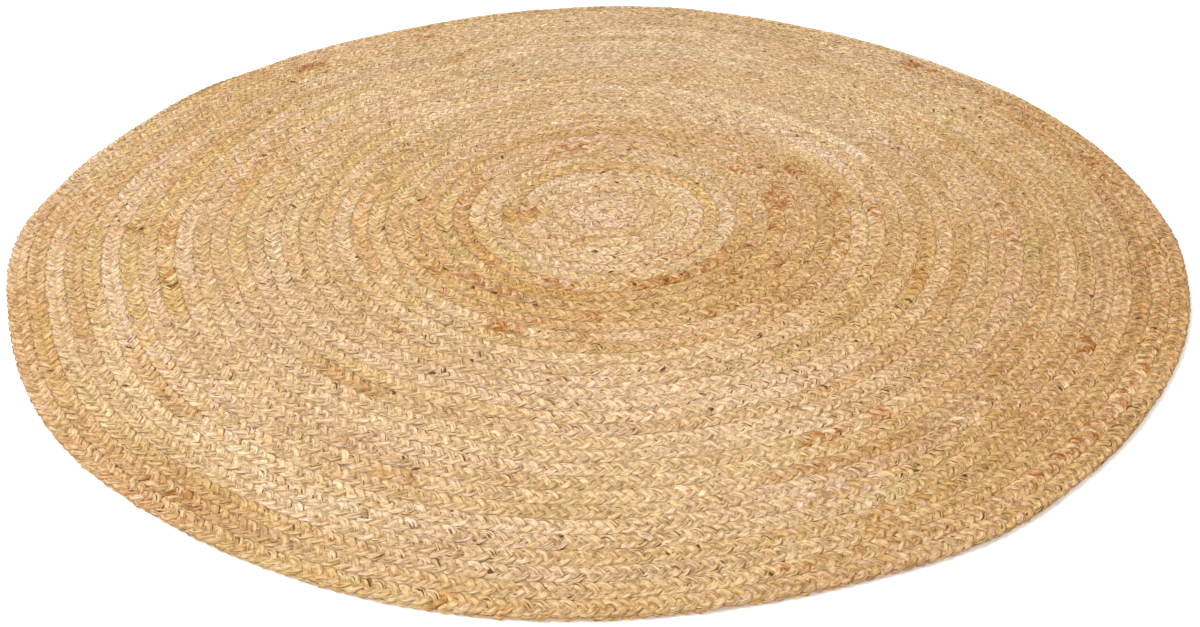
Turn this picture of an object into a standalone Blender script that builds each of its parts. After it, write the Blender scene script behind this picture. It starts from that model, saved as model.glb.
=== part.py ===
"""A round jute rug: one long three-strand plait, wound flat from its eye to its rim and sewn row to row.

Metres, +Z up. The rug lies on Z = 0 with the middle of its bounding box over the origin.
Bearings are in degrees, seen from above: 0 is +X, 90 is +Y, counted counterclockwise.
"""
import math

import bmesh
import bpy
from mathutils import Vector
from mathutils.geometry import delaunay_2d_cdt

# The winding. Radii are measured from the eye, where the plait starts.
RUG_RADIUS = 0.900            # eye to rim, as an average all round
ROWS = 34                     # rows of plait between the eye and the rim
ROW_WIDTH = RUG_RADIUS / ROWS
TURNS = ROWS + 0.5            # the last turn runs half a row inside to half a row outside the radius
EYE_TURNS = 0.45              # the plait's first bend, which is folded on itself and has no groove
END_BEARING = 138             # where the plait ends on the rim; it is wound clockwise to there
END_TAPER_TURNS = 22 / 360    # the plait thins to nothing over this last stretch

# The plait's cross-section.
TOP_HEIGHT = 0.0100           # both shoulders of a row
GROOVE_HEIGHT = 0.0073        # where two rows are sewn together
SHOULDER_SHARE = 0.17         # from a groove to the shoulder beside it, as a share of the row's width
RIM_SHOULDER_SHARE = 0.09     # from the rim to the rounded edge above it
RIM_SHOULDER_HEIGHT = 0.0082
RIM_HEIGHT = 0.0046           # where the outermost row is widest
RIM_UNDERCUT = 0.0035         # the rim's foot stands this far inside its widest line

# How far the rim stands outside (+) or inside (-) the true winding, where the rug was sewn tighter or looser.
RIM_SWELLS = (
    # bearing, metres
    (0, 0.004),
    (16, 0.002),
    (28, 0.000),
    (40, -0.008),
    (52, -0.008),
    (62, -0.003),
    (70, 0.006),
    (80, 0.017),
    (88, 0.015),
    (98, 0.005),
    (117, -0.008),
    (139, 0.003),
    (147, 0.009),
    (160, -0.004),
    (171, 0.006),
    (184, 0.020),
    (203, 0.003),
    (220, 0.006),
    (236, 0.000),
    (256, 0.002),
    (287, -0.012),
    (302, -0.005),
    (312, -0.010),
    (321, -0.010),
    (346, 0.002),
    (354, 0.006),
)
SWELL_GROWTH = 2.0            # the inner rows are rounder: the swell grows with this power of the radius
EYE_DRIFT = (0.0075, -0.0015) # the inner rows lie this far off the rim's middle, and the rows outside them less

# How finely the winding is divided.
CHORD_SAG = 0.0009            # a straight stretch leaves the true curve by this much
FEWEST_PER_TURN = 12
THINNEST_ROW_SHARE = 0.25     # no shoulders are drawn on the last tip, where the row is thinner than this

STRAW = (0.72, 0.50, 0.26, 1.0)
DRY_FIBRE_ROUGHNESS = 0.85


def clear_scene():
    """Empty the file of the objects it opens with."""
    for thing in list(bpy.data.objects):
        bpy.data.objects.remove(thing, do_unlink=True)


def swell_at(bearing):
    """The rim's swell at a bearing, eased from one entry of the table to the next."""
    bearing %= 360
    closed = RIM_SWELLS + ((RIM_SWELLS[0][0] + 360, RIM_SWELLS[0][1]),)
    for (low, before), (high, after) in zip(closed, closed[1:]):
        if low <= bearing <= high:
            ease = 0.5 - 0.5 * math.cos(math.pi * (bearing - low) / (high - low))
            return before + (after - before) * ease
    raise ValueError("the swells leave a bearing out")


def row_width(turn):
    """The plait's width, full to where its end begins to thin."""
    return ROW_WIDTH * min(1.0, (TURNS - turn) / END_TAPER_TURNS)


def groove_radius(turn):
    """Radius of the plait's outer edge after so many turns, on the true winding."""
    inner = min(turn, TURNS - END_TAPER_TURNS)
    if turn <= inner:
        return ROW_WIDTH * turn
    return ROW_WIDTH * (turn - 1) + row_width(turn)


def place(turn, radius):
    """The point at a radius on the bearing that the winding has reached."""
    bearing = END_BEARING + 360 * (TURNS - turn)
    radius += swell_at(bearing) * (radius / RUG_RADIUS) ** SWELL_GROWTH
    angle = math.radians(bearing)
    drift = Vector(EYE_DRIFT) * max(0.0, 1 - radius / RUG_RADIUS)
    return Vector((radius * math.cos(angle), radius * math.sin(angle))) + drift


def turns_to_draw():
    """The turns, as a growing number, at which the lines of the winding have a point."""
    turns = []
    turn = EYE_TURNS
    while turn < TURNS - 1:
        turns.append(turn)
        turn += step_at(turn)
    steps = round(1 / step_at(TURNS))
    turns += [TURNS - 1 + i / steps for i in range(steps)]
    return turns


def step_at(turn):
    """The step in turns that keeps a straight stretch within the sag of the curve."""
    by_sag = math.sqrt(8 * CHORD_SAG / (ROW_WIDTH * turn)) / (2 * math.pi)
    return min(by_sag, 1 / FEWEST_PER_TURN)


class Winding:
    """Points and lines of the rug seen from above, each point with its height."""

    def __init__(self):
        self.points = []
        self.heights = []
        self.lines = []

    def add(self, point, height):
        self.points.append(point)
        self.heights.append(height)
        return len(self.points) - 1

    def join(self, line):
        self.lines += zip(line, line[1:])


def draw_winding():
    """The grooves and shoulders of every row, and the closed rim, as indices of its points in order."""
    winding = Winding()
    grooves, inner_shoulders, outer_shoulders, rim_edges = [], [], [], []
    rim = []
    for turn in turns_to_draw():
        outer = groove_radius(turn)
        on_rim = turn >= TURNS - 1
        groove = winding.add(place(turn, outer), RIM_HEIGHT if on_rim else GROOVE_HEIGHT)
        grooves.append(groove)
        if on_rim:
            rim.append(groove)
        width = row_width(turn)
        if width < THINNEST_ROW_SHARE * ROW_WIDTH:
            continue
        inset = width * SHOULDER_SHARE
        outer_shoulders.append(winding.add(place(turn, outer - inset), TOP_HEIGHT))
        if turn >= 1 + EYE_TURNS:
            inner_shoulders.append(winding.add(place(turn, outer - width + inset), TOP_HEIGHT))
        if on_rim:
            edge = place(turn, outer - width * RIM_SHOULDER_SHARE)
            rim_edges.append(winding.add(edge, RIM_SHOULDER_HEIGHT))
    for line in (grooves, inner_shoulders, outer_shoulders, rim_edges):
        winding.join(line)
    winding.lines.append((rim[-1], rim[0]))
    return winding, rim


def build_rug():
    """One closed body: the ribbed top, the rounded rim and the flat underside."""
    winding, rim = draw_winding()
    points, _, faces, sources, _, _ = delaunay_2d_cdt(
        winding.points, winding.lines, [], 1, 1e-6
    )
    middle = (
        Vector((max(p.x for p in points), max(p.y for p in points)))
        + Vector((min(p.x for p in points), min(p.y for p in points)))
    ) / 2
    net = bmesh.new()
    made = {}
    top = []
    for point, found in zip(points, sources):
        height = max(winding.heights[i] for i in found)
        corner = net.verts.new(((point - middle).x, (point - middle).y, height))
        top.append(corner)
        made.update({i: corner for i in found})
    for face in faces:
        net.faces.new([top[i] for i in face])

    foot = []
    for i in rim:
        edge = made[i]
        out = Vector((edge.co.x, edge.co.y, 0))
        foot.append(net.verts.new(out - out.normalized() * RIM_UNDERCUT))
    for i, corner in enumerate(foot):
        before = foot[i - 1]
        net.faces.new((corner, before, made[rim[i - 1]], made[rim[i]]))
    net.faces.new(foot)
    bmesh.ops.recalc_face_normals(net, faces=net.faces)
    return net


def jute_material():
    """Dry, undyed straw-coloured fibre."""
    jute = bpy.data.materials.new("jute_braid")
    jute.use_nodes = True
    shader = jute.node_tree.nodes["Principled BSDF"]
    shader.inputs["Base Color"].default_value = STRAW
    shader.inputs["Roughness"].default_value = DRY_FIBRE_ROUGHNESS
    shader.inputs["Metallic"].default_value = 0.0
    return jute


clear_scene()
rug_net = build_rug()
rug_mesh = bpy.data.meshes.new("braided_rug")
rug_net.to_mesh(rug_mesh)
rug_net.free()
rug_mesh.materials.append(jute_material())
rug = bpy.data.objects.new("braided_rug", rug_mesh)
bpy.context.scene.collection.objects.link(rug)
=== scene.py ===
import math

import bpy
import numpy as np
from mathutils import Matrix, Vector


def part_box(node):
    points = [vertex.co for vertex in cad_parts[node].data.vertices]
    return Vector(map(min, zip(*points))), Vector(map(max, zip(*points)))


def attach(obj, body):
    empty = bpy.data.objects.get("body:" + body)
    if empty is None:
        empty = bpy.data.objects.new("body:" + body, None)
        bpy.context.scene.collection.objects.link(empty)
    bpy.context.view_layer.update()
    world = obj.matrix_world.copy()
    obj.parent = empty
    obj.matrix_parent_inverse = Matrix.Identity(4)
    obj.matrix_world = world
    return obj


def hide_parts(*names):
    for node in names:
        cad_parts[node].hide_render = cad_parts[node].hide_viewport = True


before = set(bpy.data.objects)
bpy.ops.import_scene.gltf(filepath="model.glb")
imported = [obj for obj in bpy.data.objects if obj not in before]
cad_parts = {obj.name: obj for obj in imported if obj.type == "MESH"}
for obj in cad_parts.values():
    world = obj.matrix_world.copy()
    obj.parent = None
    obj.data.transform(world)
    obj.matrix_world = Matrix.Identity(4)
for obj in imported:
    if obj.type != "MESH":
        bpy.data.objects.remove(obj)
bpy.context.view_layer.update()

# ------------------------------------------------------------------------------------------
# The winding. The whole rug is one jute plait, laid in a flat spiral from its eye outwards,
# clockwise seen from above, and sewn row to row. It was pulled tighter in some places than
# in others, so the rim swells and flattens as it goes round.
# Metres; bearings in degrees, 0 is +X, 90 is +Y, counted counterclockwise from above.

RUG_RADIUS = 0.900
ROWS = 34
ROW_WIDTH = RUG_RADIUS / ROWS
TURNS = ROWS + 0.5
END_BEARING = 138
END_TAPER_TURNS = 22 / 360
RUG_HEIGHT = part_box("braided_rug")[1].z

RIM_SWELLS = (
    # bearing, metres out of the true winding
    (0, 0.004), (16, 0.002), (28, 0.000), (40, -0.008), (52, -0.008), (62, -0.003),
    (70, 0.006), (80, 0.017), (88, 0.015), (98, 0.005), (117, -0.008), (139, 0.003),
    (147, 0.009), (160, -0.004), (171, 0.006), (184, 0.020), (203, 0.003), (220, 0.006),
    (236, 0.000), (256, 0.002), (287, -0.012), (302, -0.005), (312, -0.010), (321, -0.010),
    (346, 0.002), (354, 0.006),
)
SWELL_GROWTH = 2.0
EYE_DRIFT = (0.0075, -0.0015)  # of the innermost rows from the rim's middle


def swells_at(bearings):
    """How far the rim stands out at each bearing, eased from one entry of the table to the next."""
    bearings = np.mod(bearings, 360)
    at, out = np.array(RIM_SWELLS + ((RIM_SWELLS[0][0] + 360, RIM_SWELLS[0][1]),)).T
    entry = np.clip(np.searchsorted(at, bearings, side="right") - 1, 0, len(at) - 2)
    ease = 0.5 - 0.5 * np.cos(np.pi * (bearings - at[entry]) / (at[entry + 1] - at[entry]))
    return out[entry] + (out[entry + 1] - out[entry]) * ease


def bearing_of(turns):
    return END_BEARING + 360 * (TURNS - turns)


def places(turns, radii):
    """Points on the rug's plan, as rows of x and y from the eye."""
    bearings = bearing_of(turns)
    radii = radii + swells_at(bearings) * (radii / RUG_RADIUS) ** SWELL_GROWTH
    angles = np.radians(bearings)
    drift = np.clip(1 - np.abs(radii) / RUG_RADIUS, 0, 1)[:, None] * EYE_DRIFT
    return np.stack([radii * np.cos(angles), radii * np.sin(angles)], axis=1) + drift


def row_widths(turns):
    """The plait's width as it is laid, thinning to nothing at its end."""
    return ROW_WIDTH * np.clip((TURNS - turns) / END_TAPER_TURNS, 0, 1)


def rim_places(count):
    """The rim's outline: the plait's outer edge over its last turn."""
    turns = np.linspace(TURNS - 1, TURNS, count, endpoint=False)
    return places(turns, ROW_WIDTH * (turns - 1) + row_widths(turns))


RIM_POINTS = 2000
rim = rim_places(RIM_POINTS)
EYE = -(rim.max(0) + rim.min(0)) / 2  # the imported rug's box stands centred over the origin

# ------------------------------------------------------------------------------------------
# The viewpoint. The camera stands in front of the rug at a standing child's eye height and
# looks down on it, as the shape of the rows and the rim in the photo gives it.

FITTED_HEIGHT = 0.0085               # of the rug's face, which the view was fitted to
CAMERA_BACK = 2.2271 * RUG_RADIUS    # from the eye, towards the viewer
CAMERA_UP = 1.2548 * RUG_RADIUS + FITTED_HEIGHT
CAMERA_PITCH = 33.51                 # degrees below level
CAMERA_YAW = -0.173
CAMERA_ROLL = -0.226
SENSOR_WIDTH = 36.0
LENS = 42.32                         # millimetres, for that sensor


def new_thing(data):
    """An object in the scene, with its data's name."""
    thing = bpy.data.objects.new(data.name, data)
    bpy.context.scene.collection.objects.link(thing)
    return thing


yaw, pitch, roll = (math.radians(a) for a in (CAMERA_YAW, CAMERA_PITCH, CAMERA_ROLL))
ahead = Vector((math.sin(yaw) * math.cos(pitch), math.cos(yaw) * math.cos(pitch), -math.sin(pitch)))
level = Vector((math.cos(yaw), -math.sin(yaw), 0))
above = level.cross(ahead)
right = level * math.cos(roll) + above * math.sin(roll)
up = -level * math.sin(roll) + above * math.cos(roll)
camera = new_thing(bpy.data.cameras.new("camera"))
turned = Matrix((right, up, -ahead)).transposed().to_4x4()
camera.matrix_world = Matrix.Translation((EYE[0], EYE[1] - CAMERA_BACK, CAMERA_UP)) @ turned
camera.data.sensor_width = SENSOR_WIDTH
camera.data.lens = LENS
camera.data.clip_start = 0.05
camera.data.clip_end = 50
bpy.context.scene.camera = camera

# ------------------------------------------------------------------------------------------
# Jute fibre: dry, undyed, straw-coloured bast, laid nearly straight in each strand. Its tone
# drifts along the plait and along each strand, because every handful of fibre differs, and
# bits of bark and rust-brown root ends run through it.

STRAW = (0.702, 0.462, 0.237)        # linear colour of the fibre where it is neither pale nor dark
RIPENING = (0.880, 0.775, 0.585)     # what one step darker and browner multiplies it by
SHADING = (0.815, 0.785, 0.715)      # and one step darker: the fibres' own streaks, and painted shade between fibres, in gaps, valleys and grooves
YELLOWING = (1.010, 1.005, 0.860)
GREENING = (0.965, 1.030, 0.960)
RUST = (0.440, 0.150, 0.024)
AMBER = (0.585, 0.295, 0.085)
BARK = (0.120, 0.050, 0.012)
OLIVE = (0.560, 0.390, 0.140)
ROSE = (0.720, 0.470, 0.300)
CREAM = (0.760, 0.535, 0.320)
ASH = (0.620, 0.485, 0.300)
NOISE_SPREAD = 0.13                  # standard deviation of a noise texture's value


def wire(tree, value, socket):
    """Set a socket to a value, or link it to another node's output."""
    if isinstance(value, bpy.types.NodeSocket):
        tree.links.new(value, socket)
    else:
        socket.default_value = value


def place_node(tree, kind, settings=None, **values):
    """A node with its settings and its inputs, which are named with _ for a space."""
    made = tree.nodes.new(kind)
    for name, value in (settings or {}).items():
        setattr(made, name, value)
    for name, value in values.items():
        wire(tree, value, made.inputs[name.replace("_", " ")])
    return made


def worked_out(tree, kind, operation, values):
    """The outputs of one step of arithmetic, whose inputs are given in order."""
    made = place_node(tree, kind, {"operation": operation})
    for value, socket in zip(values, made.inputs):
        wire(tree, value, socket)
    return made.outputs


def sums(tree, operation, *values):
    """One step of arithmetic on numbers."""
    return worked_out(tree, "ShaderNodeMath", operation, values)[0]


def plus(tree, first, second):
    return sums(tree, "ADD", first, second)


def times(tree, first, second):
    return sums(tree, "MULTIPLY", first, second)


def vectors(tree, operation, *values):
    """One step of arithmetic on vectors."""
    found = worked_out(tree, "ShaderNodeVectorMath", operation, values)
    return found["Value" if operation in ("DOT_PRODUCT", "DISTANCE") else "Vector"]


def scaled(tree, vector, amount):
    made = place_node(tree, "ShaderNodeVectorMath", {"operation": "SCALE"}, Scale=amount)
    wire(tree, vector, made.inputs[0])
    return made.outputs[0]


def blend(tree, share, first, second, how="MIX"):
    """Colours mixed by a share, which may go below 0 or above 1."""
    made = tree.nodes.new("ShaderNodeMix")
    made.data_type = "RGBA"
    made.blend_type = how
    made.clamp_factor = False
    wire(tree, share, made.inputs["Factor"])
    wire(tree, first, made.inputs[6])
    wire(tree, second, made.inputs[7])
    return made.outputs[2]


def between(tree, value, low, high, low_gives=0.0, high_gives=1.0):
    """A value's place from low to high, smoothed and held at both ends."""
    made = place_node(
        tree, "ShaderNodeMapRange", {"interpolation_type": "SMOOTHSTEP"},
        From_Min=low, From_Max=high, To_Min=low_gives, To_Max=high_gives,
    )
    wire(tree, value, made.inputs["Value"])
    return made.outputs["Result"]


# Two lines are darker along the plait, both of them painted shade: the valley down a row's middle,
# where the strands cross, and the broader groove between two rows. Near the eye the grooves show
# more, and near the rim the valleys. A piece that carries no lane, the seam or the hairs, gets the
# groove's painted shade all over.
LANE_MIDDLE = 3               # "lane" is this in the middle of a row, and 1 more or less at its edges
VALLEY_REACH = (0.0, 0.24)    # from a row's middle, in half rows
GROOVE_REACH = (0.40, 1.0)
EYE_TO_RIM = (0.45, 0.80)     # metres from the eye, between which the one gives way to the other
VALLEY_SHADE = (1.05, -0.1)   # what it gains on the way from the eye to the rim, and what it is at the eye
GROOVE_SHADE = (-0.20, 0.30)


def jute_fibre_group():
    """Colour and relief of jute.

    Its map is metres along and across the fibre, and the strand's number. Shades are counted in
    standard deviations of noise, so that each weight below says how much that streak matters.
    """
    group = bpy.data.node_groups.new("jute_fibre", "ShaderNodeTree")
    face = group.interface
    face.new_socket("Fibre Map", in_out="INPUT", socket_type="NodeSocketVector")
    face.new_socket("Stain", in_out="INPUT", socket_type="NodeSocketColor")
    for label in ("Stain Strength", "Fleck", "Height", "Lane", "Eye Distance"):
        face.new_socket(label, in_out="INPUT", socket_type="NodeSocketFloat")
    face.new_socket("Color", in_out="OUTPUT", socket_type="NodeSocketColor")
    face.new_socket("Relief", in_out="OUTPUT", socket_type="NodeSocketFloat")
    given = group.nodes.new("NodeGroupInput")
    put_out = group.nodes.new("NodeGroupOutput")

    def streaks(along, across, apart, seed, detail=2.0):
        """Noise with so many waves a metre along and across the fibre, in standard deviations."""
        point = vectors(group, "MULTIPLY", given.outputs["Fibre Map"], (along, across, apart))
        point = vectors(group, "ADD", point, (0, 0, seed))
        noise = place_node(group, "ShaderNodeTexNoise", Vector=point, Scale=1.0, Detail=detail)
        centred = sums(group, "SUBTRACT", noise.outputs["Fac"], 0.5)
        return sums(group, "DIVIDE", centred, NOISE_SPREAD)

    def weighed(*pairs):
        """Streaks added up, each with its weight."""
        total = times(group, *pairs[0])
        for streak, weight in pairs[1:]:
            total = plus(group, total, times(group, streak, weight))
        return total

    def tinted(base, *steps):
        """A colour darkened or tinged: for each step, its tint to the power of its amount."""
        channels = []
        for channel in range(3):
            power = weighed(*((amount, math.log(tint[channel])) for tint, amount in steps))
            channels.append(times(group, sums(group, "EXPONENT", power), base[channel]))
        mixed = place_node(group, "ShaderNodeCombineColor")
        for channel, socket in zip(channels, mixed.inputs):
            group.links.new(channel, socket)
        return mixed.outputs[0]

    bundles = streaks(34, 290, 7.7, 9.7, 1.0)
    ridges = streaks(45, 720, 7.7, 55.3, 3.0)
    fibres = streaks(90, 2200, 7.7, 17.3)
    clumps = streaks(95, 130, 7.7, 77.1)
    grains = streaks(170, 330, 7.7, 91.3)
    # Painted shade on the plait's lower parts, darker the lower they lie.
    low_part_painted_shade = between(group, given.outputs["Height"], 0.72, 0.93, 1.0, 0.0)
    off = sums(group, "ABSOLUTE", sums(group, "SUBTRACT", given.outputs["Lane"], LANE_MIDDLE))
    outwards = between(group, given.outputs["Eye Distance"], *EYE_TO_RIM)
    valley = between(group, off, *VALLEY_REACH, 1.0, 0.0)
    valley = times(group, valley, sums(group, "MULTIPLY_ADD", outwards, *VALLEY_SHADE))
    # A row's middle is made paler by as much as its edges are made darker: painted light in the middle,
    # painted shade at the edges.
    groove = between(group, off, *GROOVE_REACH, -0.3, 0.7)
    groove = times(group, groove, sums(group, "MULTIPLY_ADD", outwards, *GROOVE_SHADE))
    # Painted shade in the gaps between bundles of fibre.
    gap_painted_shade = between(group, bundles, -1.8, -0.7, 2.2, 0.0)
    # The fibre's own tone, drifting darker and browner, with the painted shade of the low parts and the
    # gaps.
    tone_and_painted_shade = weighed(
        (streaks(1.1, 0, 0.25, 1.3), 0.40), (streaks(4.3, 0, 0.25, 94.1), 0.27),
        (streaks(11, 0, 5.3, 2.9), 0.25), (streaks(42, 60, 9.1, 5.1), 0.10),
        (low_part_painted_shade, 0.40), (gap_painted_shade, 0.25),
    )
    # Fine streaks of the fibres' own tone, which also stand for painted shade between single fibres; the
    # painted shade of the gaps, valleys and grooves is added to them.
    shade = weighed((clumps, 0.22), (grains, 1.25), (bundles, 0.12), (ridges, 0.55), (fibres, 0.50))
    shade = sums(group, "MAXIMUM", shade, times(group, shade, 0.5))
    shade = weighed((shade, 1.3), (gap_painted_shade, 0.55), (valley, 1.0), (groove, 1.0))
    yellow = weighed(
        (streaks(1.7, 0, 0.25, 41.7), 0.85), (streaks(13, 0, 5.3, 45.1), 0.28),
        (streaks(50, 60, 9.1, 48.3), 0.08),
    )
    green = weighed(
        (streaks(2.3, 0, 0.25, 61.9), 0.5), (streaks(17, 0, 5.3, 66.7), 0.28),
        (streaks(50, 60, 9.1, 69.9), 0.1),
    )
    tone = tinted(STRAW, (RIPENING, tone_and_painted_shade), (SHADING, shade), (YELLOWING, yellow), (GREENING, green))

    rusty = between(group, streaks(10, 70, 8.3, 23.9), 2.0, 2.7, 0.0, 0.6)
    tone = blend(group, rusty, tone, (*RUST, 1))
    missed = between(group, streaks(75, 190, 7.7, 83.5), -1.0, 0.6, 0.9, 0.0)
    missed = times(group, missed, given.outputs["Stain Strength"])
    held = sums(group, "SUBTRACT", 1.0, missed)
    stained = times(group, given.outputs["Stain Strength"], held)
    tone = blend(group, stained, tone, (0, 0, 0, 1))
    # The stains darken with the fibre's tone and with the painted shade over them.
    dark = sums(group, "EXPONENT", weighed((tone_and_painted_shade, -0.25), (shade, -0.27)))
    stain = scaled(group, given.outputs["Stain"], times(group, held, dark))
    tone = blend(group, 1.0, tone, stain, "ADD")
    bits = weighed(
        (streaks(85, 430, 6.1, 31.1, 1.0), 1.0), (streaks(2.6, 0, 2.2, 36.3), 0.35), (ridges, 0.32),
    )
    small = between(group, bits, 1.36, 1.80, 0.0, 0.95)
    charted = weighed((given.outputs["Fleck"], 1.0), (bundles, 0.10), (ridges, 0.16))
    charted = between(group, charted, 0.30, 0.52, 0.0, 0.95)
    tone = blend(group, sums(group, "MAXIMUM", small, charted), tone, (*BARK, 1))
    group.links.new(tone, put_out.inputs["Color"])
    relief = weighed((bundles, 0.28), (grains, 0.26), (ridges, 0.20), (fibres, 0.06), (clumps, 0.14))
    group.links.new(relief, put_out.inputs["Relief"])
    return group


jute_fibre = jute_fibre_group()

FIBRE_RELIEF = 0.0014     # metres
FIBRE_ROUGHNESS = 0.75
FIBRE_SPECULAR = 0.15


def new_material(name):
    """A material, its node tree and the inputs of its shader."""
    material = bpy.data.materials.new(name)
    material.use_nodes = True
    return material, material.node_tree, material.node_tree.nodes["Principled BSDF"].inputs


def jute_material(name):
    material, tree, shader = new_material(name)

    def carried(kept):
        """What the points of a piece carry under a name."""
        return place_node(tree, "ShaderNodeAttribute", {"attribute_name": kept}).outputs

    fibre_map = place_node(tree, "ShaderNodeUVMap", {"uv_map": "fibre_map"})
    stain = carried("stain")
    position = place_node(tree, "ShaderNodeTexCoord").outputs["Object"]
    height = place_node(tree, "ShaderNodeSeparateXYZ", Vector=position)
    own_strand = place_node(tree, "ShaderNodeCombineXYZ", Z=carried("strand")["Fac"])
    jute = place_node(
        tree, "ShaderNodeGroup", {"node_tree": jute_fibre},
        Fibre_Map=vectors(tree, "ADD", fibre_map.outputs["UV"], own_strand.outputs[0]),
        Stain=stain["Color"],
        Stain_Strength=stain["Alpha"],
        Fleck=carried("fleck")["Fac"],
        Height=sums(tree, "DIVIDE", height.outputs["Z"], RUG_HEIGHT),
        Lane=carried("lane")["Fac"],
        Eye_Distance=vectors(tree, "DISTANCE", position, (*EYE, RUG_HEIGHT)),
    )
    bump = place_node(
        tree, "ShaderNodeBump", Strength=1.0, Distance=FIBRE_RELIEF, Height=jute.outputs["Relief"]
    )
    tree.links.new(jute.outputs["Color"], shader["Base Color"])
    tree.links.new(bump.outputs["Normal"], shader["Normal"])
    shader["Roughness"].default_value = FIBRE_ROUGHNESS
    shader["Specular IOR Level"].default_value = FIBRE_SPECULAR
    return material


jute = jute_material("jute_braid")

# ------------------------------------------------------------------------------------------
# The plait: three soft, flattened strands of jute roving, each passing over and under the
# other two once from either side in every stitch. Its lobes point back along the row, towards
# the eye. It is made in lengths, a band of rows each, which meet end to end.

STITCH = 0.0470               # one strand's way from an edge across and back
RINGS_PER_STITCH = 12
STRANDS = 3
SIDES = 6
STRAND_WIDTH = 0.0134         # where a strand lies flat, in the middle of the plait
STRAND_HEIGHT = 0.0054
EDGE_NARROWING = 0.10         # at the plait's edges a strand folds over: it is narrower there
EDGE_THICKENING = 0.68        # and thicker
SQUARENESS = 0.78             # of a strand's section: 1 is an ellipse, less is fuller at the corners
EDGE_DWELL = 0.10             # how long a strand runs along the edge before it turns back
PLAIT_WIDTH = ROW_WIDTH + 0.0048   # the sewing pulls the rows into each other by this much
EDGE_ROLL = 10                # degrees by which a strand rolls as it goes round the plait's edge
TOP_CROWDING = 0.22           # more of a strand's rings lie where it is on top
CROWDED_AT = 30               # and by this many degrees nearer to the fold at the edge
STRAND_GIRTH = 0.031
PRESSED = 0.42                # the share of the plait's relief that is left: it has been walked flat
PRESSED_ABOUT = 0.0093        # the height that stays where it is
PRESSED_ABOVE = 0.005         # what lies lower is lifted in proportion, so that it still meets the floor
PRESSED_LIFT = (PRESSED_ABOUT * (1 - PRESSED) + PRESSED_ABOVE * PRESSED) / PRESSED_ABOVE
STRIP_RINGS = 260             # in one strip of the map that a strand is baked to
BANDS = 8                     # lengths that the plait is made in
FIRST_TURN = 0.62             # where the plait's inner end is tucked into the eye
PATH_STEP = 1e-4              # turns between two points of the winding that are measured
PATH_SHORT = 0.004            # turns by which the path stops short of the plait's thinned tip

# How the strands stray: waves in a metre, seed, and the most that they stray by.
STITCH_STRAY = (4.0, 1.1)             # radians of a stitch, for all three strands alike
STRAND_STRAY = (17.0, 33.0, 0.55)     # and for each on its own
WIDTH_STRAY = (38.0, 27.0, 0.30)      # of a strand's width
SIDE_STRAY = (60.0, 11.0, 0.0017)     # metres to either side
RISE_STRAY = (45.0, 19.0, 0.0014)     # metres up or down
LUMPS_ALONG = 150.0                   # waves in a metre, of lumps in a strand's skin
LUMPS_AROUND = 1.1
LUMPINESS = 0.7                       # of a strand's thickness, for the whole range of the noise


def lengths_along(plan):
    """The length of a line before each of its points."""
    return np.concatenate([[0], np.cumsum(np.linalg.norm(np.diff(plan, axis=0), axis=1))])


def plait_path():
    """The plait's middle line, a ring apart, as rows of x, y, turns gone and the plait's width."""
    turns = np.cumsum(np.concatenate([[FIRST_TURN], np.full(int(TURNS / PATH_STEP), PATH_STEP)]))
    turns = turns[turns < TURNS - PATH_SHORT]
    widths = row_widths(turns)
    plan = places(turns, np.maximum(ROW_WIDTH * (turns - 1), -ROW_WIDTH / 2) + widths / 2) + EYE
    gone = lengths_along(plan)
    rings = int(gone[-1] * RINGS_PER_STITCH / STITCH)
    even = np.arange(rings + 1) * STITCH / RINGS_PER_STITCH
    return np.stack([np.interp(even, gone, row) for row in (*plan.T, turns, widths)], axis=1)


def new_tree(name, numbers):
    """A geometry tree with a geometry socket and named numbers, and its two end nodes."""
    tree = bpy.data.node_groups.new(name, "GeometryNodeTree")
    tree.interface.new_socket("Geometry", in_out="OUTPUT", socket_type="NodeSocketGeometry")
    tree.interface.new_socket("Geometry", in_out="INPUT", socket_type="NodeSocketGeometry")
    for label, value in numbers.items():
        socket = tree.interface.new_socket(label, in_out="INPUT", socket_type="NodeSocketFloat")
        socket.default_value = value
    return tree, tree.nodes.new("NodeGroupInput"), tree.nodes.new("NodeGroupOutput")


PLAIT_VECTORS = ("place", "middle", "across", "flank", "back")
PLAIT_NOTES = ("along", "strand", "wide", "tall", "roll", "around", "lane", *PLAIT_VECTORS)


def kind_of(name):
    return {"data_type": "FLOAT_VECTOR" if name in PLAIT_VECTORS else "FLOAT"}


def store(tree, geometry, **values):
    """Keep values on each point under their names."""
    for name, value in values.items():
        kept = place_node(
            tree, "GeometryNodeStoreNamedAttribute", kind_of(name), Geometry=geometry, Name=name)
        wire(tree, value, kept.inputs["Value"])
        geometry = kept.outputs[0]
    return geometry


def kept_value(tree, name):
    return place_node(tree, "GeometryNodeInputNamedAttribute", kind_of(name), Name=name).outputs[0]


def wander(tree, along, strand, per_metre, seed, most):
    """A slow drift either way, different for each strand."""
    point = place_node(
        tree, "ShaderNodeCombineXYZ",
        X=times(tree, along, per_metre), Y=times(tree, strand, 7.31), Z=seed,
    )
    noise = place_node(tree, "ShaderNodeTexNoise", Vector=point.outputs[0], Scale=1.0, Detail=1.0)
    return times(tree, sums(tree, "SUBTRACT", noise.outputs["Fac"], 0.5), 2 * most)


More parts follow.
